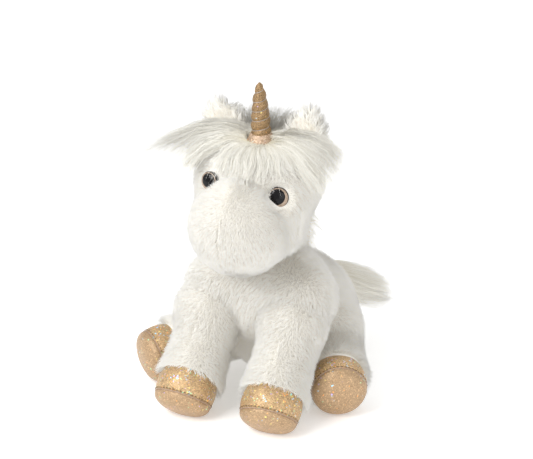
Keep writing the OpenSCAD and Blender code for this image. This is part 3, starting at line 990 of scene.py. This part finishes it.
def add_ear(side, seed):
    sign = EYES[side]
    root = JOINTS[f"{side}_ear_fold"]
    up = unit(np.array([EAR_SLANT[side], 0.05, 1.0]))
    out = unit(np.cross(np.cross(up, [sign, -0.25, -0.2]), up))
    fore = unit(np.cross(up, out)) * (-1 if np.cross(up, out)[1] > 0 else 1)
    centre = root + up * 15

    def local(p):
        q = p - centre
        return np.stack([q @ out, q @ fore, q @ up], -1)

    def shape(p):
        q = local(p)
        high = np.clip((q[..., 2] + 17) / 36, 0, 1)
        wide = 13.0 * np.sqrt(np.clip(1 - (np.abs(high - 0.3) / 0.74) ** 1.8, 0.02, 1))
        dish = 1.6 * (1 - np.clip(np.abs(q[..., 0]) / 12, 0, 1) ** 2)
        thick, tall = 3.6, 20.5
        across, through, along = q[..., 0] / wide, (q[..., 1] + dish) / thick, (q[..., 2] - 1) / tall
        leaf = np.sqrt(across ** 2 + through ** 2 + along ** 4) - 1
        return melt(3, leaf * 4, ball(p, root, 7.5))

    skin = blob(f"{side}_ear_skin", centre - fore * 1.6, shape, 5, 40)
    body = f"{side}_ear"
    backing(skin, body, 0.4, f"{side}_ear_back")

    def back(p):
        q = local(p)
        return (q[:, 1] < 0.6) | (np.abs(q[:, 0]) > 9) | (q[:, 2] > 14) | (q[:, 2] < -12)

    pile(f"{side}_ear_pile", skin, body, up, 10.5, PILE_DENSITY * 1.1, seed, back,
         tuft=4.0, pull=0.6, mess=1.7)
    lining = pile(f"{side}_ear_inner_pile", skin, body, up, 6.5, PILE_DENSITY * 1.5, seed + 20,
                  lambda p: ~back(p), lean=0.6, tuft=2.2, width=0.4, slot="ear_lining")
    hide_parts(f"{side}_ear_lining")


def add_forelock(horn_foot):
    """Long hair parted at the horn: a sweep over each side of the head and finer hair down the forehead.
    The guides are measured from the horn's foot."""
    def off(p):
        return np.minimum(head_shape(p), cone(p, horn_foot, horn_foot + [0, 0, 12], 10.8, 9.4))

    right = [
        [[-8, 8, 3], [-19, 8, 11], [-34, 5, 13], [-50, -4, 9], [-64, -9, 0]],
        [[-6, 3, 3], [-18, 2, 12], [-37, -4, 13], [-61, -14, 6], [-108, -26, -23]],
        [[-7, -1, 3], [-19, -4, 10], [-37, -9, 9], [-55, -15, 0], [-75, -19, -17]],
        [[-7, -5, 3], [-19, -10, 8], [-35, -17, 3], [-46, -21, -9], [-54, -21, -24]],
        [[-7, -7, 3], [-16, -14, 6], [-27, -21, 1], [-36, -26, -8], [-42, -26, -20]],
    ]
    forehead = [
        [[-7, -8, 3], [-14, -16, 3], [-21, -24, -3], [-25, -29, -10]],
        [[-5, -9, 3], [-10, -19, 3], [-14, -29, -5], [-16, -38, -17]],
        [[-1, -10, 3], [-3, -20, 3], [-4, -31, -5], [-5, -42, -22]],
        [[4, -10, 3], [7, -20, 3], [9, -31, -6], [11, -39, -20]],
        [[8, -9, 3], [16, -18, 3], [23, -26, -5], [28, -30, -12]],
        [[10, -7, 3], [23, -14, 4], [35, -19, -4], [44, -22, -14]],
    ]
    left = [
        [[9, 8, 3], [20, 8, 11], [35, 6, 13], [50, 2, 9], [62, -2, 0]],
        [[7, 3, 3], [20, 2, 11], [38, -1, 13], [55, -6, 8], [71, -10, -3]],
        [[8, -1, 3], [22, -3, 9], [39, -6, 9], [54, -9, -1], [66, -10, -16]],
        [[8, -4, 3], [22, -8, 8], [38, -12, 3], [51, -13, -10], [58, -11, -28]],
        [[9, -7, 3], [22, -12, 5], [36, -17, -2], [47, -18, -15], [51, -15, -30]],
    ]
    crest = [[[x, 9, -2], [x * 1.2, 12, 11], [x * 1.6, 17, 20], [x * 2.2, 29, 24]]
             for x in (-14, -7, 0, 7, 14)]
    # Name, guides, hairs, lift, short, thin and pull of each lock
    locks = (("right", right, 4400, 3.0, 0.3, 1.15, 0.42),
             ("forehead", forehead, 4600, 5.5, 0.1, 1.5, 0.16),
             ("left", left, 4800, 3.0, 0.3, 1.15, 0.35),
             ("crest", crest, 2200, 3.0, 0.3, 1.3, 0.5))
    for name, guides, count, lift, short, thin, pull in locks:
        guides = [horn_foot + np.array(g, float) for g in guides]
        hair = fan(f"forelock_{name}", "head", guides, count, 41 + len(name), (4, 3.6, 2.4), off, lift,
                   short, pull=pull, thin=thin)
        if name == "forehead":
            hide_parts("forelock")


def add_mane():
    """Hair down the back of the head and neck, falling to both sides."""
    rng = np.random.default_rng(SEED + 60)
    count = 4200
    a = np.radians(rng.uniform(-25, 92, count))
    side = rng.normal(size=count) * 5.5
    ray = SKULL + np.stack([side, 40 * np.cos(a), 40 * np.sin(a)], 1)
    for _ in range(8):
        ray = ray - gradient(head_shape, ray) * head_shape(ray)[:, None]
    n = gradient(head_shape, ray)
    turn = np.where(side > 0, 1.0, -1.0)[:, None]
    ways = np.array([[0.7, 0.25, -0.3]]) * np.concatenate([turn, np.ones((count, 2))], 1) + 0.9 * n
    ways = ways + 0.3 * waves(ray, 18, 63)
    mane = grown_hair("mane_head", "head", ray - n * 0.5, ways, n, rng.uniform(14, 27, count), 61,
                      head_shape)
    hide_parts("mane")
    count = 1300
    a = rng.normal(size=count) * 0.35
    ray = NECK_LOW + np.stack([21 * np.sin(a), 21 * np.cos(a), rng.uniform(2, 30, count)], 1)
    n = gradient(neck_shape, ray)
    turn = np.where(a > 0, 1.0, -1.0)[:, None]
    ways = np.array([[0.7, 0.2, -0.7]]) * np.concatenate([turn, np.ones((count, 2))], 1) + 0.7 * n
    grown_hair("mane_neck", "neck", ray - n, ways, n, rng.uniform(14, 24, count), 62, neck_shape)


def add_tail():
    """Brush of long hair round a stuffed stub, widest near its root."""
    tip = TAIL_ROOT + (middle("tail_hair") - TAIL_ROOT) * 1.78 + [0, 0, -2]
    ahead = unit(tip - TAIL_ROOT)
    reach = np.linalg.norm(tip - TAIL_ROOT)

    def stub(p):
        return cone(p, TAIL_ROOT - ahead * 3, TAIL_ROOT + ahead * reach * 0.42, 7.5, 5)

    skin = blob("tail_stub", TAIL_ROOT + ahead * reach * 0.2, stub, 4, 60)
    backing(skin, "tail", 0.6, "tail_core")
    side = unit(np.cross(ahead, [0, 0, 1.0]))
    guides = []
    for shift in (-5, 0, 5):
        guides.append([TAIL_ROOT - ahead * 4 + side * shift * 0.5,
                       TAIL_ROOT + ahead * reach * 0.3 + side * shift,
                       TAIL_ROOT + ahead * reach * 0.65 + side * shift * 1.1 + [0, 0, -1],
                       tip + side * shift * 0.7 + [0, 0, -2]])
    hair = fan("tail_brush", "tail", guides, 4600, 81, (7, 14, 5.5), stub, 0.5, 0.35, steps=6, stray=2.5,
               ragged=3.5)
    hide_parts("tail_hair")


# ---- hidden pieces ----

def dress_hidden():
    """Materials for the CAD nodes that stay, inside the skins."""
    plastic, tree, shader = new_material("washer_plastic")
    grain = texture(tree, "ShaderNodeTexNoise", Scale=700.0).outputs[0]
    coloured(tree, shader, ramp(tree, grain, (0.3, (0.78, 0.78, 0.76)), (0.7, (0.88, 0.88, 0.86))))
    tune(shader, Roughness=0.5)
    for name, material in (("right_eye_washer", plastic), ("left_eye_washer", plastic),
                           ("seat_pellet_bag", KNIT)):
        thing = frame["nodes"][name]
        thing.data.materials.clear()
        thing.data.materials.append(material)


# ---- studio ----

def add_studio():
    bpy.ops.mesh.primitive_plane_add(size=30, location=(0, 0, 0))
    floor = bpy.context.object
    floor.name = "floor"
    m, _, shader = new_material("pale_floor")
    tune(shader, Base_Color=(0.93, 0.93, 0.93, 1), Roughness=0.9)
    tune(shader, Emission_Color=(1, 1, 1, 1), Emission_Strength=0.30)
    floor.data.materials.append(m)
    world = bpy.data.worlds.new("studio")
    world.use_nodes = True
    tune(world.node_tree.nodes["Background"], Color=(1, 1, 1, 1), Strength=0.74)
    bpy.context.scene.world = world
    for name, place, power in (("key", (-0.5, -1.25, 1.25), 19.5), ("side", (1.2, -1.0, 0.55), 4.2),
                               ("back", (0.2, 1.2, 1.1), 2.0)):
        light = bpy.data.lights.new(name, "AREA")
        light.size = 0.9
        light.energy = power
        lamp = bpy.data.objects.new(name, light)
        lamp.location = place
        ahead = Vector((0, -0.03, 0.11)) - Vector(place)
        lamp.rotation_euler = ahead.to_track_quat("-Z", "Y").to_euler()
        bpy.context.scene.collection.objects.link(lamp)
    bpy.context.scene.view_settings.view_transform = "Standard"


def add_camera():
    azimuth, elevation, distance = math.radians(25.2), math.radians(20.5), 1.4
    target = Vector((0, -0.0422, 0.1236))
    level = math.cos(elevation)
    out = Vector((math.sin(azimuth) * level, -math.cos(azimuth) * level, math.sin(elevation)))
    data = bpy.data.cameras.new("camera")
    data.lens = 133.5
    data.sensor_width = 36
    data.clip_end = 50
    camera = bpy.data.objects.new("camera", data)
    camera.location = target + out * distance
    camera.rotation_euler = (-out).to_track_quat("-Z", "Y").to_euler()
    bpy.context.scene.collection.objects.link(camera)
    bpy.context.scene.camera = camera


add_torso()
add_neck()
add_head()
for index, leg_name in enumerate(LEGS):
    add_leg(leg_name, 10 + index)
for eye_side in EYES:
    add_eye(eye_side)
horn_base = add_horn()
add_ear("right", 20)
add_ear("left", 21)
add_forelock(horn_base)
add_mane()
add_tail()
dress_hidden()
add_studio()
add_camera()
